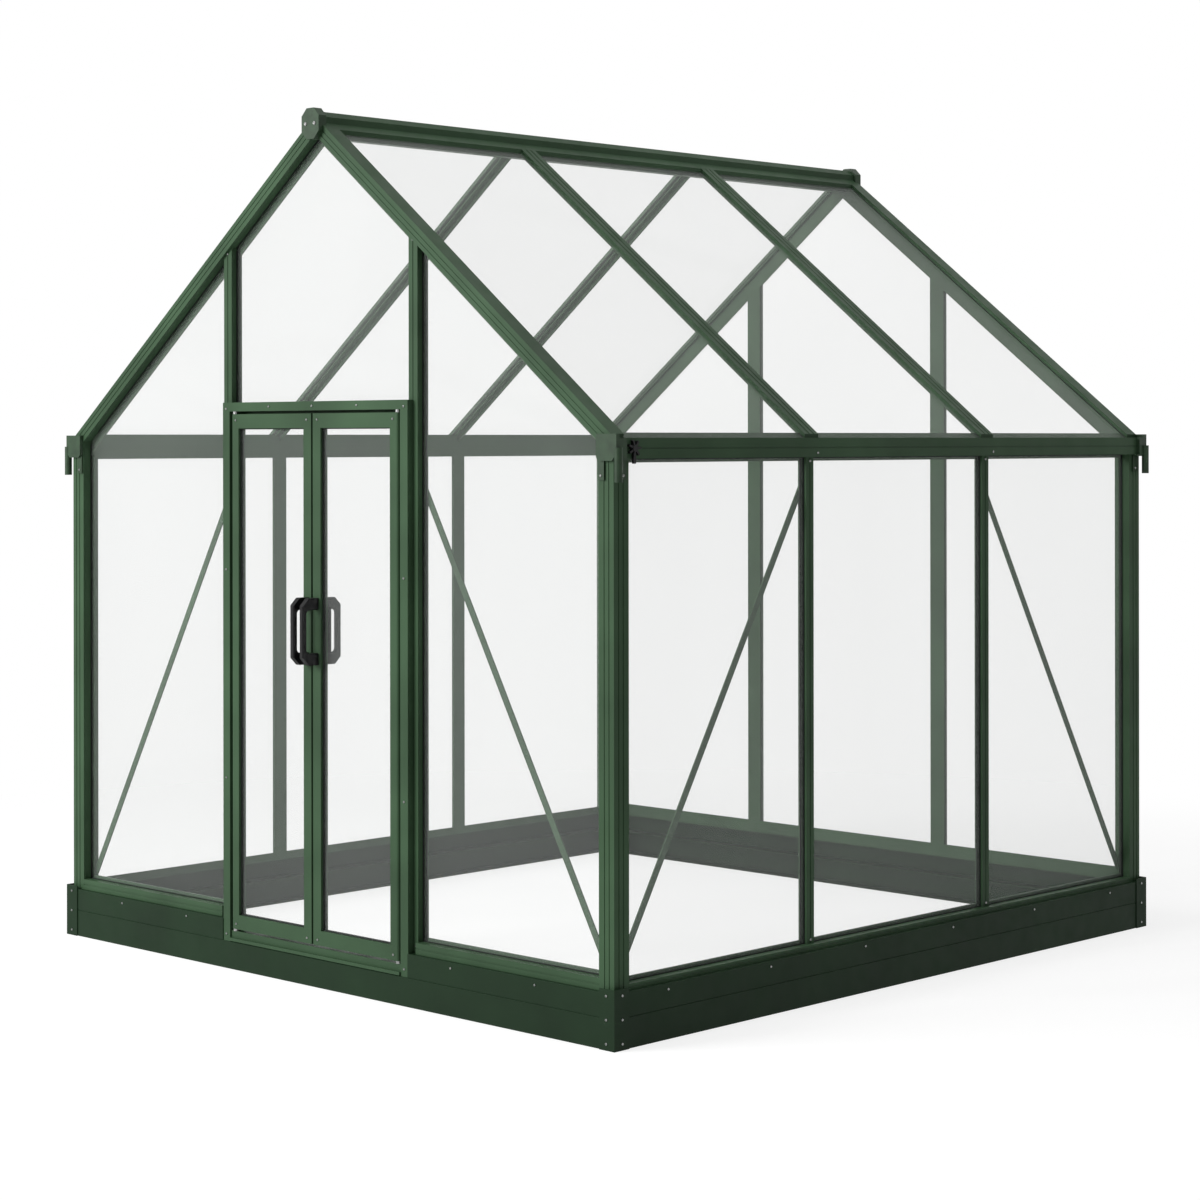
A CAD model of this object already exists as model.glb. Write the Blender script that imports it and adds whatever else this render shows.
"""Finishes, small fittings, camera and light for a small gabled greenhouse."""

from math import cos, pi, radians, tan

import bmesh
import bpy
from mathutils import Matrix, Vector


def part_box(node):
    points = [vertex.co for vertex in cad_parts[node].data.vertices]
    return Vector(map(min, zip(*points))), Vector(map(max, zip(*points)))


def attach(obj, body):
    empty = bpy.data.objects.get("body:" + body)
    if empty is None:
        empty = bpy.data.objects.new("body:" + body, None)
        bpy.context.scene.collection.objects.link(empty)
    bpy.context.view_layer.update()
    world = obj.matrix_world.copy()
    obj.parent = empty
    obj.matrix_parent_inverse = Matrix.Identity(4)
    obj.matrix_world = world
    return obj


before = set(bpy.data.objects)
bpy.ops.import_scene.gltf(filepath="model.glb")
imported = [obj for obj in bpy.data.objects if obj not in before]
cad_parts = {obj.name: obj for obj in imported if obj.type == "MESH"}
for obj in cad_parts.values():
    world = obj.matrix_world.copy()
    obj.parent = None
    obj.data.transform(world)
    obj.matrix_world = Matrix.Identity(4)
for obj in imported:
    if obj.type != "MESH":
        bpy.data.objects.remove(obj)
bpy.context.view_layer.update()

bl_info = {
    "name": "Greenhouse Finish",
    "version": (1, 0, 0),
    "blender": (4, 5, 0),
    "location": "View3D > Sidebar > Greenhouse",
    "description": "Dresses the greenhouse frame with finishes, screws, seals and a studio",
    "category": "Object",
}

# Places that the frame's own pieces give. Places along y are measured from the middle of
# the walls, and build_piece() moves each finished mesh back to the frame's own y.
corner_low, corner_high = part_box("base_corner_plates")
cap_low, cap_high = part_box("ridge_end_caps")
leaf_low, leaf_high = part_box("right_door_stiles")
wall_middle = (corner_high[1] + corner_low[1]) / 2
half_width = corner_high[0]
half_depth = (corner_high[1] - corner_low[1]) / 2
base_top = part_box("gable_sills")[0][2]
eave_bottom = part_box("right_panes")[1][2]
header_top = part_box("door_header")[1][2]
bay = 2 * half_depth / 3

# The part's sizes that no box gives, in metres
roof_slope = radians(37.6)
roof_edge_height = 1.187
gable_stud_x = 0.316
side_stud_half = 0.012
gable_stud_half = 0.014
flange_show = 0.008
side_sill_height = 0.012
gable_sill_height = 0.024
post_edge = 0.054
rafter_leg = 0.032
leaf_stile = 0.026
leaf_rail = 0.032

# How far the faces that carry fittings lie inside the outline
strip_inset = 0.002
eave_inset = 0.004
door_frame_inset = 0.004
finger_inset = 0.008
gable_stud_inset = 0.019
side_stud_inset = 0.026
glass_outer_inset = 0.034
glass_inner_inset = 0.037
flange_inset = 0.038
brace_inset = 0.045

# Screw places, from the edge or the foot that each one is set out from
plate_screw_heights = (0.013, 0.060, 0.107)
plate_screw_edge = 0.022
front_finger_edge = 0.0435
side_finger_edge = 0.0345
finger_screw_drop = 0.033
ridge_screw_x = 0.015
stud_foot_rise = 0.020
stud_head_drop = 0.008
gable_foot_rises = (0.016, 0.034)
gable_foot_step = 0.008
gable_head_drop = 0.010
jamb_screw_x = 0.303
jamb_screw_heights = (0.078, 0.43, 0.90, 1.262)
header_screw_x = 0.15
header_screw_drop = 0.010
base_screw_drop = 0.012
base_screws_a_side = 6
front_base_screws = (0.45, 0.70)
eave_screw_rise = 0.009
leaf_screw_edges = (0.015, 0.0165)
leaf_screw_ends = (0.012, 0.0135)
brace_foot_edge = 0.058
brace_foot_rise = 0.034
brace_head_drop = 0.048
small_screw = 0.0025
ridge_screw = 0.0045
brace_screw = 0.005

# Pan head, as shares of its radius and of its height
head_sides = 10
head_shoulder = 0.55
head_dome = 0.45
head_dome_rim = 0.3
head_recess_rim = 0.32
head_recess_wall = 0.12
head_recess = 0.5

# Seals
seal_proud = 0.0022
inner_seal_lap = 0.003
inner_seal_show = 0.0008
inner_seal_proud = 0.0002
gable_seal_top = 1.62
post_seal_rise = 0.030
roof_seal_reach = 0.86
leaf_seal_depth = 0.003
leaf_glass_faces = (0.0085, 0.0115)
meeting_seal = (0.008, 0.012)
meeting_seal_gap = 0.0005

# Star clip on the eave rail
clip_place = (-0.872, 1.174)
clip_ribs = 7
clip_turn = 0.3
clip_hub_sides = 12
clip_hub_foot = 0.55
clip_hub_top = 0.4
clip_hub_depth = 0.008
clip_rib = (0.007, 0.004)
clip_tail = ((0.0, -0.004, -0.030), (0.006, 0.004, -0.008))
clip_tail_bevel = 0.001

# Finishes: colours are linear values, and noise shows between two shares of its range
noise_low = 0.3
noise_high = 0.7
frame_roughness = 0.42
base_roughness = 0.46
gable_veil_colour = (0.60, 0.63, 0.61)
side_veil_colour = (0.86, 0.89, 0.87)
veil_gain = 1.1
glass_ior = 1.45
green_plastic_share = 0.62
plastic_grain = 0.1
black_plastic_colour = (0.0045, 0.0045, 0.005)
rubber_colour = (0.012, 0.016, 0.013)
zinc_dark = (0.22, 0.23, 0.23)
zinc_light = (0.36, 0.36, 0.35)

# Camera, fitted to the photo's edges. Turns are in degrees and the sensor in millimetres.
photo_pixels = 1200
focal_pixels = 2689.93
sight_pixel = (665.58, 439.95)
camera_place = (4.5836, -4.6654, 1.1906)
camera_turn = (90, 0.07, 43.2994)
camera_reach = 200
sensor = 36.0

# Lamps: name, place, point that it faces, size and power
lamps = (
    ("key_lamp", (-3.5, -8.0, 4.0), (0, 0, 0.9), 4.0, 830),
    ("top_lamp", (1.0, -1.0, 8.0), (0, 0, 0), 5.0, 190),
)

# World and floor. The floor's shadow fades into white between two distances.
world_light = 0.22
white_light = 1.0
floor_glow = 0.40
floor_size = 60.0
floor_cells = 8
floor_colour = (0.82, 0.82, 0.82, 1)
floor_roughness = 0.9
shadow_from = 1.6
shadow_to = 3.2
shadow_fade = 0.6
full_white = (1, 1, 1, 1)


class GreenhouseSizes(bpy.types.PropertyGroup):
    """Sizes of the small fittings."""

    screw_radius: bpy.props.FloatProperty(
        name="Screw head radius",
        description="Radius of the pan heads on the frame",
        default=0.0027,
        min=0.001,
        subtype="DISTANCE",
        unit="LENGTH",
    )
    screw_height: bpy.props.FloatProperty(
        name="Screw head height",
        description="How far a pan head stands proud",
        default=0.0022,
        min=0.0005,
        subtype="DISTANCE",
        unit="LENGTH",
    )
    seal_width: bpy.props.FloatProperty(
        name="Seal width",
        description="Width of the rubber line that shows beside each profile",
        default=0.0022,
        min=0.0005,
        subtype="DISTANCE",
        unit="LENGTH",
    )
    clip_radius: bpy.props.FloatProperty(
        name="Star clip radius",
        description="Radius of the black star clip on the eave rail",
        default=0.017,
        min=0.005,
        subtype="DISTANCE",
        unit="LENGTH",
    )


class GreenhouseFinish(bpy.types.PropertyGroup):
    """Colours of the finishes, as linear values."""

    frame_colour: bpy.props.FloatVectorProperty(
        name="Frame colour",
        description="Powder coat on the aluminium profiles",
        default=(0.038, 0.076, 0.039),
        size=3,
        subtype="COLOR",
    )
    base_colour: bpy.props.FloatVectorProperty(
        name="Base colour",
        description="Powder coat on the folded steel base",
        default=(0.0095, 0.0250, 0.0105),
        size=3,
        subtype="COLOR",
    )
    gable_veil: bpy.props.FloatProperty(
        name="Gable pane veil",
        description="How milky the panes of the gables and doors look, from clear to white",
        default=0.062,
        min=0.0,
        max=1.0,
        subtype="FACTOR",
    )
    side_veil: bpy.props.FloatProperty(
        name="Side pane veil",
        description="How milky the panes of the side walls and roof look, from clear to white",
        default=0.085,
        min=0.0,
        max=1.0,
        subtype="FACTOR",
    )


def sizes():
    """Sizes that the panel shows."""
    return bpy.context.scene.greenhouse_sizes


def finishes():
    """Finishes that the panel shows."""
    return bpy.context.scene.greenhouse_finish


# Materials


def new_material(name):
    """A material with its node tree and its main shader."""
    material = bpy.data.materials.new(name)
    material.use_nodes = True
    tree = material.node_tree
    shader = tree.nodes["Principled BSDF"]
    return material, tree, shader


def object_noise(tree, scale, detail, stretch=(1, 1, 1)):
    """Noise in the object's own metres, which may be stretched along an axis."""
    coordinates = tree.nodes.new("ShaderNodeTexCoord")
    mapping = tree.nodes.new("ShaderNodeMapping")
    mapping.inputs["Scale"].default_value = stretch
    noise = tree.nodes.new("ShaderNodeTexNoise")
    noise.inputs["Scale"].default_value = scale
    noise.inputs["Detail"].default_value = detail
    tree.links.new(coordinates.outputs["Object"], mapping.inputs["Vector"])
    tree.links.new(mapping.outputs["Vector"], noise.inputs["Vector"])
    return noise


def ramp(tree, source, low, high):
    """Colours from low to high over a noise."""
    node = tree.nodes.new("ShaderNodeValToRGB")
    node.color_ramp.elements[0].position = noise_low
    node.color_ramp.elements[0].color = low
    node.color_ramp.elements[1].position = noise_high
    node.color_ramp.elements[1].color = high
    tree.links.new(source, node.inputs["Fac"])
    return node


def span(tree, source, low, high):
    """Values from low to high over a noise."""
    node = tree.nodes.new("ShaderNodeMapRange")
    node.inputs["From Min"].default_value = noise_low
    node.inputs["From Max"].default_value = noise_high
    node.inputs["To Min"].default_value = low
    node.inputs["To Max"].default_value = high
    tree.links.new(source, node.inputs["Value"])
    return node


def surface_bump(tree, shader, source, strength, distance):
    """Let a noise raise the surface."""
    bump = tree.nodes.new("ShaderNodeBump")
    bump.inputs["Strength"].default_value = strength
    bump.inputs["Distance"].default_value = distance
    tree.links.new(source, bump.inputs["Height"])
    tree.links.new(bump.outputs["Normal"], shader.inputs["Normal"])


def shade(colour, factor):
    """A colour made darker or lighter, with full alpha."""
    return tuple(channel * factor for channel in colour) + (1.0,)


def powder_coat(name, colour, roughness):
    """Fine orange-peel coat with slow changes of shade and a dusty bloom."""
    material, tree, shader = new_material(name)
    slow = object_noise(tree, scale=5.0, detail=2.0)
    tone = ramp(tree, slow.outputs["Fac"], shade(colour, 0.82), shade(colour, 1.22))
    tree.links.new(tone.outputs["Color"], shader.inputs["Base Color"])
    patch = object_noise(tree, scale=24.0, detail=2.0)
    gloss = span(tree, patch.outputs["Fac"], roughness - 0.06, roughness + 0.08)
    tree.links.new(gloss.outputs["Result"], shader.inputs["Roughness"])
    peel = object_noise(tree, scale=420.0, detail=0.0)
    surface_bump(tree, shader, peel.outputs["Fac"], strength=0.05, distance=0.0002)
    shader.inputs["Specular IOR Level"].default_value = 0.1
    return material


def clear_pane(name, veil, colour):
    """Clear glass with a light milky veil that changes slowly over a pane."""
    material, tree, shader = new_material(name)
    haze = object_noise(tree, scale=2.4, detail=0.0, stretch=(1, 1, 0.4))
    tone = ramp(tree, haze.outputs["Fac"], shade(colour, 1.0), shade(colour, veil_gain))
    tree.links.new(tone.outputs["Color"], shader.inputs["Base Color"])
    gloss = span(tree, haze.outputs["Fac"], low=0.04, high=0.09)
    tree.links.new(gloss.outputs["Result"], shader.inputs["Roughness"])
    shader.inputs["Alpha"].default_value = veil
    shader.inputs["IOR"].default_value = glass_ior
    return material


def moulded_plastic(name, colour, roughness, grain):
    """Moulded plastic with a fine spark-eroded grain."""
    material, tree, shader = new_material(name)
    slow = object_noise(tree, scale=40.0, detail=3.0)
    tone = ramp(tree, slow.outputs["Fac"], shade(colour, 0.8), shade(colour, 1.3))
    tree.links.new(tone.outputs["Color"], shader.inputs["Base Color"])
    gloss = span(tree, slow.outputs["Fac"], roughness - 0.05, roughness + 0.07)
    tree.links.new(gloss.outputs["Result"], shader.inputs["Roughness"])
    fine = object_noise(tree, scale=1400.0, detail=2.0)
    surface_bump(tree, shader, fine.outputs["Fac"], strength=grain, distance=0.0004)
    shader.inputs["Specular IOR Level"].default_value = 0.2
    return material


def plated_steel(name):
    """Bright zinc plate with a faint cloudy spangle."""
    material, tree, shader = new_material(name)
    cloud = object_noise(tree, scale=350.0, detail=4.0)
    tone = ramp(tree, cloud.outputs["Fac"], shade(zinc_dark, 1.0), shade(zinc_light, 1.0))
    tree.links.new(tone.outputs["Color"], shader.inputs["Base Color"])
    gloss = span(tree, cloud.outputs["Fac"], low=0.22, high=0.38)
    tree.links.new(gloss.outputs["Result"], shader.inputs["Roughness"])
    shader.inputs["Metallic"].default_value = 1.0
    return material


def cast(name, builder, *values):
    """The finish of that name, made once."""
    return bpy.data.materials.get(name) or builder(name, *values)


def frame_coat():
    """Powder coat of the aluminium profiles."""
    return cast("frame_powder_coat", powder_coat, tuple(finishes().frame_colour), frame_roughness)


def base_coat():
    """Darker powder coat of the steel base."""
    return cast("base_powder_coat", powder_coat, tuple(finishes().base_colour), base_roughness)


def gable_glass():
    """Glass that faces the key lamp, with a duller veil."""
    return cast("clear_gable_glass", clear_pane, finishes().gable_veil, gable_veil_colour)


def side_glass():
    """Glass of the side walls and roof, with a whiter veil."""
    return cast("clear_side_glass", clear_pane, finishes().side_veil, side_veil_colour)


def green_plastic():
    """Plastic of the gutter ends and ridge caps."""
    colour = shade(finishes().frame_colour, green_plastic_share)[:3]
    return cast("moulded_green_plastic", moulded_plastic, colour, 0.42, plastic_grain)


def black_plastic():
    """Plastic of the handles and the star clip."""
    return cast("moulded_black_plastic", moulded_plastic, black_plastic_colour, 0.40, plastic_grain)


def seal_rubber():
    """Rubber of every seal."""
    return cast("black_seal_rubber", moulded_plastic, rubber_colour, 0.6, 0.3)


def zinc_plate():
    """Plate of the screw heads and door pivots."""
    return cast("zinc_plated_steel", plated_steel)


# Mesh helpers


def build_piece(bm, name, body, material):
    """Turn a mesh made about the walls' middle into a piece that rides on a body."""
    bmesh.ops.recalc_face_normals(bm, faces=bm.faces[:])
    bmesh.ops.translate(bm, vec=(0, wall_middle, 0), verts=bm.verts[:])
    mesh = bpy.data.meshes.new(name)
    bm.to_mesh(mesh)
    bm.free()
    mesh.materials.append(material)
    piece = bpy.data.objects.new(name, mesh)
    bpy.context.scene.collection.objects.link(piece)
    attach(piece, body)
    return piece


def facing(place, outward):
    """Matrix that puts local +Z along a direction at a place."""
    turn = Vector(outward).to_track_quat("Z", "Y").to_matrix().to_4x4()
    return Matrix.Translation(Vector(place)) @ turn


def pan_head(bm, place, outward, radius, height):
    """Domed screw head with a small recess."""
    grown = bmesh.ops.create_circle(bm, cap_ends=True, radius=radius, segments=head_sides)
    verts = grown["verts"]
    face = verts[0].link_faces[0]
    raised = bmesh.ops.extrude_face_region(bm, geom=[face])
    top = [item for item in raised["geom"] if isinstance(item, bmesh.types.BMFace)][0]
    upper = [item for item in raised["geom"] if isinstance(item, bmesh.types.BMVert)]
    bmesh.ops.translate(bm, verts=upper, vec=(0, 0, height * head_shoulder))
    for rim, rise in (
        (head_dome_rim, height * head_dome),
        (head_recess_rim, 0),
        (head_recess_wall, -height * head_recess),
    ):
        bmesh.ops.inset_individual(bm, faces=[top], thickness=radius * rim, depth=rise)
    every = set(verts) | set(upper) | set(top.verts)
    for vert in list(every):
        for edge in vert.link_edges:
            every.update(edge.verts)
    bmesh.ops.transform(bm, matrix=facing(place, outward), verts=list(every))


def bar(bm, low, high, bevel=0.0):
    """Block between two corners, with softened edges where asked."""
    low = Vector(low)
    high = Vector(high)
    size = high - low
    matrix = Matrix.Translation((low + high) / 2) @ Matrix.Diagonal((*size, 1.0))
    grown = bmesh.ops.create_cube(bm, size=1.0, matrix=matrix)
    if bevel:
        edges = {edge for vert in grown["verts"] for edge in vert.link_edges}
        bmesh.ops.bevel(
            bm,
            geom=list(edges),
            offset=bevel,
            segments=1,
            affect="EDGES",
            profile=0.5,
            material=-1,
        )


# Screw places


def corner_screws():
    """Three screws down each face of each corner plate."""
    places = []
    for side in (-1, 1):
        for end in (-1, 1):
            across = side * (half_width - plate_screw_edge)
            along = end * (half_depth - plate_screw_edge)
            for height in plate_screw_heights:
                places.append(((across, end * half_depth, height), (0, end, 0)))
                places.append(((side * half_width, along, height), (side, 0, 0)))
    return places


def gutter_screws():
    """One screw near the foot of each finger of the gutter ends."""
    height = eave_bottom - finger_screw_drop
    places = []
    for side in (-1, 1):
        for end in (-1, 1):
            across = side * (half_width - front_finger_edge)
            along = end * (half_depth - side_finger_edge)
            places.append(((across, end * (half_depth - finger_inset), height), (0, end, 0)))
            places.append(((side * (half_width - finger_inset), along, height), (side, 0, 0)))
    return places


def ridge_screws():
    """Two screws in the face of each ridge end cap."""
    middle = (cap_low[2] + cap_high[2]) / 2
    places = []
    for end in (-1, 1):
        for side in (-1, 1):
            places.append(((side * ridge_screw_x, end * half_depth, middle), (0, end, 0)))
    return places


def stud_screws():
    """Feet and heads of the side studs and of the gable studs."""
    side_face = half_width - side_stud_inset
    gable_face = half_depth - gable_stud_inset
    head = eave_bottom + (half_width - gable_stud_x) * tan(roof_slope) - gable_head_drop
    front_rise, back_rise = gable_foot_rises
    places = []
    for side in (-1, 1):
        for end in (-1, 1):
            for height in (base_top + stud_foot_rise, eave_bottom - stud_head_drop):
                places.append(((side * side_face, end * bay / 2, height), (side, 0, 0)))
    for side in (-1, 1):
        front_foot = side * (gable_stud_x + gable_foot_step)
        places.append(((front_foot, -gable_face, base_top + front_rise), (0, -1, 0)))
        places.append(((side * gable_stud_x, gable_face, base_top + back_rise), (0, 1, 0)))
        for end in (-1, 1):
            places.append(((side * gable_stud_x, end * gable_face, head), (0, end, 0)))
    return places


def door_frame_screws():
    """Screws down both jambs and along the header."""
    front = door_frame_inset - half_depth
    header = header_top - header_screw_drop
    places = []
    for side in (-1, 1):
        for height in jamb_screw_heights:
            places.append(((side * jamb_screw_x, front, height), (0, -1, 0)))
        places.append(((side * header_screw_x, front, header), (0, -1, 0)))
    places.append(((0.0, front, header), (0, -1, 0)))
    return places


def rail_screws():
    """Small screws along the top edge of the base and on the eave rails over the studs."""
    base_height = base_top - base_screw_drop
    eave_height = eave_bottom + eave_screw_rise
    base_pitch = 2 * half_depth / base_screws_a_side
    places = []
    for side in (-1, 1):
        for step in range(base_screws_a_side):
            along = (step + 0.5) * base_pitch - half_depth
            places.append(((side * (half_width - strip_inset), along, base_height), (side, 0, 0)))
        for step in (1, 2):
            along = step * bay - half_depth
            places.append(((side * (half_width - eave_inset), along, eave_height), (side, 0, 0)))
    for side in (-1, 1):
        for across in front_base_screws:
            places.append(((side * across, strip_inset - half_depth, base_height), (0, -1, 0)))
    return places


def leaf_screws(side):
    """Screws at the corners of a door leaf."""
    front = door_frame_inset - half_depth
    meeting_edge, hinge_edge = leaf_screw_edges
    foot_rise, head_drop = leaf_screw_ends
    places = []
    for height in (leaf_low[2] + foot_rise, leaf_high[2] - head_drop):
        places.append(((side * (leaf_high[0] - hinge_edge), front, height), (0, -1, 0)))
        places.append(((side * (leaf_low[0] + meeting_edge), front, height), (0, -1, 0)))
    return places


def brace_screws():
    """Heads inside, at both ends of each brace."""
    foot = base_top + brace_foot_rise
    head = eave_bottom - brace_head_drop
    places = []
    for side in (-1, 1):
        for across, height in ((half_width - brace_foot_edge, foot), (gable_stud_x, head)):
            places.append(((side * across, brace_inset - half_depth, height), (0, 1, 0)))
    for end in (-1, 1):
        for along, height in ((half_depth - brace_foot_edge, foot), (bay / 2, head)):
            places.append(((half_width - brace_inset, end * along, height), (-1, 0, 0)))
    return places


def add_screws(name, places, body, radius=None):
    """One piece with a pan head at each place."""
    bm = bmesh.new()
    for place, outward in places:
        pan_head(bm, place, outward, radius or sizes().screw_radius, sizes().screw_height)
    return build_piece(bm, name, body, zinc_plate())


# Seals


def wall_bar(bm, wall, along, inset, height):
    """Block given along a wall, inwards from the outline, and upwards."""
    if wall == "right":
        low = (half_width - inset[1], along[0], height[0])
        high = (half_width - inset[0], along[1], height[1])
    elif wall == "left":
        low = (-half_width + inset[0], along[0], height[0])
        high = (-half_width + inset[1], along[1], height[1])
    elif wall == "front":
        low = (along[0], -half_depth + inset[0], height[0])
        high = (along[1], -half_depth + inset[1], height[1])
    else:
        low = (along[0], half_depth - inset[1], height[0])
        high = (along[1], half_depth - inset[0], height[1])
    bar(bm, low, high)


def outer_seal(bm, wall, along, height):
    """Rubber on the outer face of a pane."""
    wall_bar(bm, wall, along, (glass_outer_inset - seal_proud, glass_outer_inset), height)


def upright_seals(bm, wall, middle, half_face, height):
    """Rubber beside both edges of a stud, outside and inside the glass."""
    width = sizes().seal_width
    half_flange = half_face + flange_show
    inner_depth = (glass_inner_inset, flange_inset + inner_seal_proud)
    for side in (-1, 1):
        outer = sorted((middle + side * half_face, middle + side * (half_face + width)))
        lap = middle + side * (half_flange - inner_seal_lap)
        inner = sorted((lap, middle + side * (half_flange + inner_seal_show)))
        outer_seal(bm, wall, outer, height)
        wall_bar(bm, wall, inner, inner_depth, height)


def side_wall_seals():
    """Rubber round the panes of both side walls."""
    bm = bmesh.new()
    width = sizes().seal_width
    low = base_top + side_sill_height
    edge = half_depth - post_edge
    for wall in ("left", "right"):
        for middle in (-bay / 2, bay / 2):
            upright_seals(bm, wall, middle, side_stud_half, (low, eave_bottom))
        for side in (-1, 1):
            outer_seal(bm, wall, sorted((side * edge, side * (edge - width))), (low, eave_bottom))
        outer_seal(bm, wall, (-edge, edge), (low, low + width))
        outer_seal(bm, wall, (-edge, edge), (eave_bottom - width, eave_bottom))
    return build_piece(bm, "side_wall_seals", "house", seal_rubber())


def gable_seals():
    """Rubber beside the studs, posts and sills of both gables."""
    bm = bmesh.new()
    width = sizes().seal_width
    low = base_top + gable_sill_height
    edge = half_width - post_edge
    post_top = eave_bottom + post_seal_rise
    for wall in ("front", "back"):
        for middle in (-gable_stud_x, gable_stud_x):
            upright_seals(bm, wall, middle, gable_stud_half, (low, gable_seal_top))
        for side in (-1, 1):
            outer_seal(bm, wall, sorted((side * edge, side * (edge - width))), (low, post_top))
            run = sorted((side * edge, side * (gable_stud_x + gable_stud_half)))
            outer_seal(bm, wall, run, (low, low + width))
    return build_piece(bm, "gable_seals", "house", seal_rubber())


def roof_line(bm, end, inset, drop, thickness):
    """Seal under the edge of a gable's rafters, down both slopes."""
    apex = roof_edge_height + half_width * tan(roof_slope)
    run = roof_seal_reach / cos(roof_slope)
    for side in (-1, 1):
        verts = bmesh.ops.create_cube(bm, size=1.0)["verts"]
        bmesh.ops.scale(bm, vec=(run, inset[1] - inset[0], thickness), verts=verts)
        bmesh.ops.translate(bm, vec=(run / 2, 0, -drop - thickness / 2), verts=verts)
        turn = Matrix.Rotation(roof_slope, 3, "Y")
        bmesh.ops.rotate(bm, cent=(0, 0, 0), matrix=turn, verts=verts)
        if side < 0:
            bmesh.ops.scale(bm, vec=(-1, 1, 1), verts=verts)
        across = end * (half_depth - (inset[0] + inset[1]) / 2)
        bmesh.ops.translate(bm, vec=(0, across, apex), verts=verts)


def rafter_seals():
    """Rubber under the rafters of both gables."""
    bm = bmesh.new()
    inset = (glass_outer_inset - seal_proud, glass_outer_inset)
    for end in (-1, 1):
        roof_line(bm, end, inset, rafter_leg, sizes().seal_width)
    return build_piece(bm, "rafter_seals", "house", seal_rubber())


def leaf_seals(side):
    """Rubber round a leaf's glass on both faces, and the left leaf's meeting seal."""
    bm = bmesh.new()
    width = sizes().seal_width
    edge_out = leaf_high[0] - leaf_stile
    edge_in = leaf_low[0] + leaf_stile
    low = leaf_low[2] + leaf_rail
    high = leaf_high[2] - leaf_rail
    front = door_frame_inset - half_depth
    for face, turn in zip(leaf_glass_faces, (-1, 1)):
        near, far = sorted((front + face, front + face + turn * leaf_seal_depth))
        for start in (edge_out, edge_in + width):
            along = sorted((side * start, side * (start - width)))
            bar(bm, (along[0], near, low), (along[1], far, high))
        along = sorted((side * edge_out, side * edge_in))
        bar(bm, (along[0], near, low), (along[1], far, low + width))
        bar(bm, (along[0], near, high - width), (along[1], far, high))
    if side < 0:
        near, far = (front + depth for depth in meeting_seal)
        reach = leaf_low[0] - meeting_seal_gap
        bar(bm, (-leaf_low[0], near, leaf_low[2]), (reach, far, leaf_high[2]))
    word = "left" if side < 0 else "right"
    return build_piece(bm, word + "_leaf_seals", word + "_leaf", seal_rubber())


# Star clip


def star_clip():
    """Hub with ribs in a ring and a tail under it, on the outer face of the right eave rail."""
    bm = bmesh.new()
    radius = sizes().clip_radius
    along, height = clip_place
    centre = Vector((half_width - eave_inset, along, height))
    hub = bmesh.ops.create_cone(
        bm,
        cap_ends=True,
        segments=clip_hub_sides,
        radius1=radius * clip_hub_foot,
        radius2=radius * clip_hub_top,
        depth=clip_hub_depth,
    )
    hub_place = facing(centre + Vector((clip_hub_depth / 2, 0, 0)), (1, 0, 0))
    bmesh.ops.transform(bm, matrix=hub_place, verts=hub["verts"])
    rib_depth, rib_width = clip_rib
    for step in range(clip_ribs):
        turn = Matrix.Rotation(step * 2 * pi / clip_ribs + clip_turn, 3, "X")
        verts = bmesh.ops.create_cube(bm, size=1.0)["verts"]
        bmesh.ops.scale(bm, vec=(rib_depth, rib_width, radius), verts=verts)
        bmesh.ops.translate(bm, vec=(rib_depth / 2, 0, radius / 2), verts=verts)
        bmesh.ops.rotate(bm, cent=(0, 0, 0), matrix=turn, verts=verts)
        bmesh.ops.translate(bm, vec=centre, verts=verts)
    tail = (centre + Vector(corner) for corner in clip_tail)
    bar(bm, *tail, bevel=clip_tail_bevel)
    return build_piece(bm, "eave_star_clip", "house", black_plastic())


# Stage


def white_for_camera(tree, surface):
    """Show plain white to the camera, in gloss and through glass."""
    path = tree.nodes.new("ShaderNodeLightPath")
    first = tree.nodes.new("ShaderNodeMath")
    first.operation = "MAXIMUM"
    tree.links.new(path.outputs["Is Camera Ray"], first.inputs[0])
    tree.links.new(path.outputs["Is Glossy Ray"], first.inputs[1])
    second = tree.nodes.new("ShaderNodeMath")
    second.operation = "MAXIMUM"
    tree.links.new(first.outputs[0], second.inputs[0])
    tree.links.new(path.outputs["Is Transmission Ray"], second.inputs[1])
    mix = tree.nodes.new("ShaderNodeMixShader")
    tree.links.new(second.outputs[0], mix.inputs["Fac"])
    tree.links.new(surface, mix.inputs[1])
    return mix


def studio_world():
    """Dim even light, with a white background for the camera."""
    world = bpy.data.worlds.new("studio_world")
    world.use_nodes = True
    tree = world.node_tree
    plain = tree.nodes["Background"]
    plain.inputs["Color"].default_value = full_white
    plain.inputs["Strength"].default_value = world_light
    white = tree.nodes.new("ShaderNodeBackground")
    white.inputs["Color"].default_value = full_white
    white.inputs["Strength"].default_value = white_light
    mix = white_for_camera(tree, plain.outputs["Background"])
    tree.links.new(white.outputs["Background"], mix.inputs[2])
    tree.links.new(mix.outputs["Shader"], tree.nodes["World Output"].inputs["Surface"])
    bpy.context.scene.world = world


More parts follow.
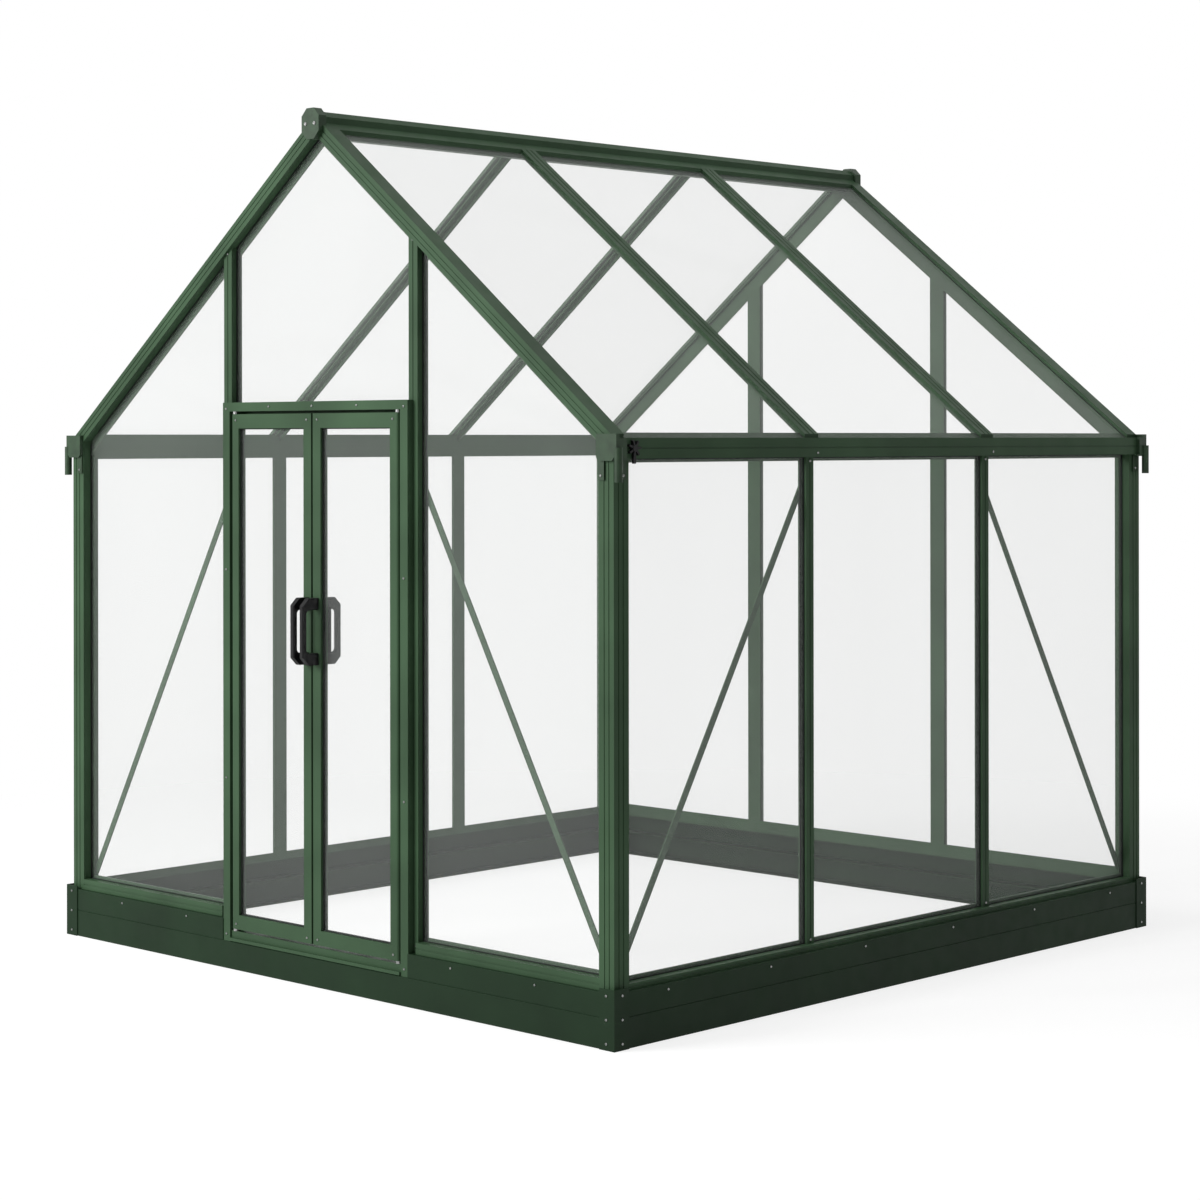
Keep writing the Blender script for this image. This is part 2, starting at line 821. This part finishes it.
def studio_floor():
    """White floor that takes a soft shadow near the greenhouse."""
    bm = bmesh.new()
    bmesh.ops.create_grid(bm, x_segments=floor_cells, y_segments=floor_cells, size=floor_size)
    mesh = bpy.data.meshes.new("studio_floor")
    bm.to_mesh(mesh)
    bm.free()
    floor = bpy.data.objects.new("studio_floor", mesh)
    bpy.context.scene.collection.objects.link(floor)
    material, tree, shader = new_material("pale_floor")
    shader.inputs["Base Color"].default_value = floor_colour
    shader.inputs["Roughness"].default_value = floor_roughness
    shader.inputs["Specular IOR Level"].default_value = 0.0
    material.cycles.emission_sampling = "NONE"
    glow = tree.nodes.new("ShaderNodeEmission")
    glow.inputs["Color"].default_value = full_white
    glow.inputs["Strength"].default_value = floor_glow
    both = tree.nodes.new("ShaderNodeAddShader")
    tree.links.new(shader.outputs["BSDF"], both.inputs[0])
    tree.links.new(glow.outputs["Emission"], both.inputs[1])
    white = tree.nodes.new("ShaderNodeEmission")
    white.inputs["Color"].default_value = full_white
    white.inputs["Strength"].default_value = white_light
    coordinates = tree.nodes.new("ShaderNodeTexCoord")
    reach = tree.nodes.new("ShaderNodeVectorMath")
    reach.operation = "LENGTH"
    tree.links.new(coordinates.outputs["Object"], reach.inputs[0])
    fade = tree.nodes.new("ShaderNodeMapRange")
    fade.interpolation_type = "SMOOTHSTEP"
    fade.inputs["From Min"].default_value = shadow_from
    fade.inputs["From Max"].default_value = shadow_to
    fade.inputs["To Min"].default_value = shadow_fade
    tree.links.new(reach.outputs["Value"], fade.inputs["Value"])
    spread = tree.nodes.new("ShaderNodeMixShader")
    tree.links.new(fade.outputs["Result"], spread.inputs["Fac"])
    tree.links.new(both.outputs["Shader"], spread.inputs[1])
    tree.links.new(white.outputs["Emission"], spread.inputs[2])
    mix = white_for_camera(tree, shader.outputs["BSDF"])
    tree.links.new(spread.outputs["Shader"], mix.inputs[2])
    tree.links.new(mix.outputs["Shader"], tree.nodes["Material Output"].inputs["Surface"])
    mesh.materials.append(material)


def soft_lamp(name, place, aim, size, power):
    """Square lamp turned towards a point."""
    lamp = bpy.data.lights.new(name, "AREA")
    lamp.shape = "SQUARE"
    lamp.size = size
    lamp.energy = power
    holder = bpy.data.objects.new(name, lamp)
    holder.location = place
    holder.rotation_euler = (Vector(aim) - Vector(place)).to_track_quat("-Z", "Y").to_euler()
    bpy.context.scene.collection.objects.link(holder)


# Operators


class GREENHOUSE_OT_coat_frame(bpy.types.Operator):
    """Give every piece of the frame its finish"""

    bl_idname = "greenhouse.coat_frame"
    bl_label = "Coat frame"

    def execute(self, context):
        for name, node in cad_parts.items():
            if "base" in name:
                material = base_coat()
            elif name in ("front_panes", "back_panes") or name.endswith("_glass"):
                material = gable_glass()
            elif name.endswith("_panes"):
                material = side_glass()
            elif "handles" in name:
                material = black_plastic()
            elif "gutter" in name or "end_caps" in name:
                material = green_plastic()
            elif "pivots" in name:
                material = zinc_plate()
            else:
                material = frame_coat()
            if node.material_slots:
                node.material_slots[0].material = material
            else:
                node.data.materials.append(material)
        return {"FINISHED"}


class GREENHOUSE_OT_add_screws(bpy.types.Operator):
    """Add the screw heads of the house and the leaves"""

    bl_idname = "greenhouse.add_screws"
    bl_label = "Add screws"

    def execute(self, context):
        add_screws("corner_plate_screws", corner_screws(), "house")
        add_screws("gutter_end_screws", gutter_screws(), "house")
        add_screws("ridge_cap_screws", ridge_screws(), "house", ridge_screw)
        add_screws("stud_screws", stud_screws(), "house")
        add_screws("door_frame_screws", door_frame_screws(), "house", small_screw)
        add_screws("rail_screws", rail_screws(), "house", small_screw)
        add_screws("brace_screws", brace_screws(), "house", brace_screw)
        add_screws("left_leaf_screws", leaf_screws(-1), "left_leaf", small_screw)
        add_screws("right_leaf_screws", leaf_screws(1), "right_leaf", small_screw)
        return {"FINISHED"}


class GREENHOUSE_OT_add_seals(bpy.types.Operator):
    """Add the rubber seals beside the panes"""

    bl_idname = "greenhouse.add_seals"
    bl_label = "Add seals"

    def execute(self, context):
        side_wall_seals()
        gable_seals()
        rafter_seals()
        leaf_seals(-1)
        leaf_seals(1)
        return {"FINISHED"}


class GREENHOUSE_OT_add_clip(bpy.types.Operator):
    """Add the black star clip on the right eave rail"""

    bl_idname = "greenhouse.add_clip"
    bl_label = "Add star clip"

    def execute(self, context):
        star_clip()
        return {"FINISHED"}


class GREENHOUSE_OT_set_stage(bpy.types.Operator):
    """Set the floor, the lamps and the camera"""

    bl_idname = "greenhouse.set_stage"
    bl_label = "Set stage"

    def execute(self, context):
        context.scene.view_settings.view_transform = "Standard"
        studio_world()
        studio_floor()
        for lamp in lamps:
            soft_lamp(*lamp)
        lens = bpy.data.cameras.new("photo_camera")
        lens.sensor_width = sensor
        lens.lens = focal_pixels / photo_pixels * sensor
        lens.shift_x = 0.5 - sight_pixel[0] / photo_pixels
        lens.shift_y = sight_pixel[1] / photo_pixels - 0.5
        lens.clip_end = camera_reach
        camera = bpy.data.objects.new("photo_camera", lens)
        camera.location = Vector(camera_place) + Vector((0, wall_middle, 0))
        camera.rotation_euler = tuple(radians(angle) for angle in camera_turn)
        context.scene.collection.objects.link(camera)
        context.scene.camera = camera
        return {"FINISHED"}


class GREENHOUSE_PT_sidebar(bpy.types.Panel):
    """Sizes, colours and pieces of the greenhouse"""

    bl_idname = "GREENHOUSE_PT_sidebar"
    bl_label = "Greenhouse"
    bl_space_type = "VIEW_3D"
    bl_region_type = "UI"
    bl_category = "Greenhouse"

    def draw(self, context):
        layout = self.layout
        for group in (context.scene.greenhouse_sizes, context.scene.greenhouse_finish):
            column = layout.column(align=True)
            for key in group.__annotations__:
                column.prop(group, key)
        for operator in OPERATORS:
            layout.operator(operator.bl_idname)


OPERATORS = (
    GREENHOUSE_OT_coat_frame,
    GREENHOUSE_OT_add_screws,
    GREENHOUSE_OT_add_seals,
    GREENHOUSE_OT_add_clip,
    GREENHOUSE_OT_set_stage,
)
CLASSES = (GreenhouseSizes, GreenhouseFinish, *OPERATORS, GREENHOUSE_PT_sidebar)


def register():
    for item in CLASSES:
        bpy.utils.register_class(item)
    bpy.types.Scene.greenhouse_sizes = bpy.props.PointerProperty(type=GreenhouseSizes)
    bpy.types.Scene.greenhouse_finish = bpy.props.PointerProperty(type=GreenhouseFinish)


def unregister():
    del bpy.types.Scene.greenhouse_finish
    del bpy.types.Scene.greenhouse_sizes
    for item in reversed(CLASSES):
        bpy.utils.unregister_class(item)


def main():
    """Dress the frame, set the stage and note the sizes."""
    register()
    bpy.ops.greenhouse.coat_frame()
    bpy.ops.greenhouse.add_screws()
    bpy.ops.greenhouse.add_seals()
    bpy.ops.greenhouse.add_clip()
    bpy.ops.greenhouse.set_stage()


if __name__ == "__main__":
    main()
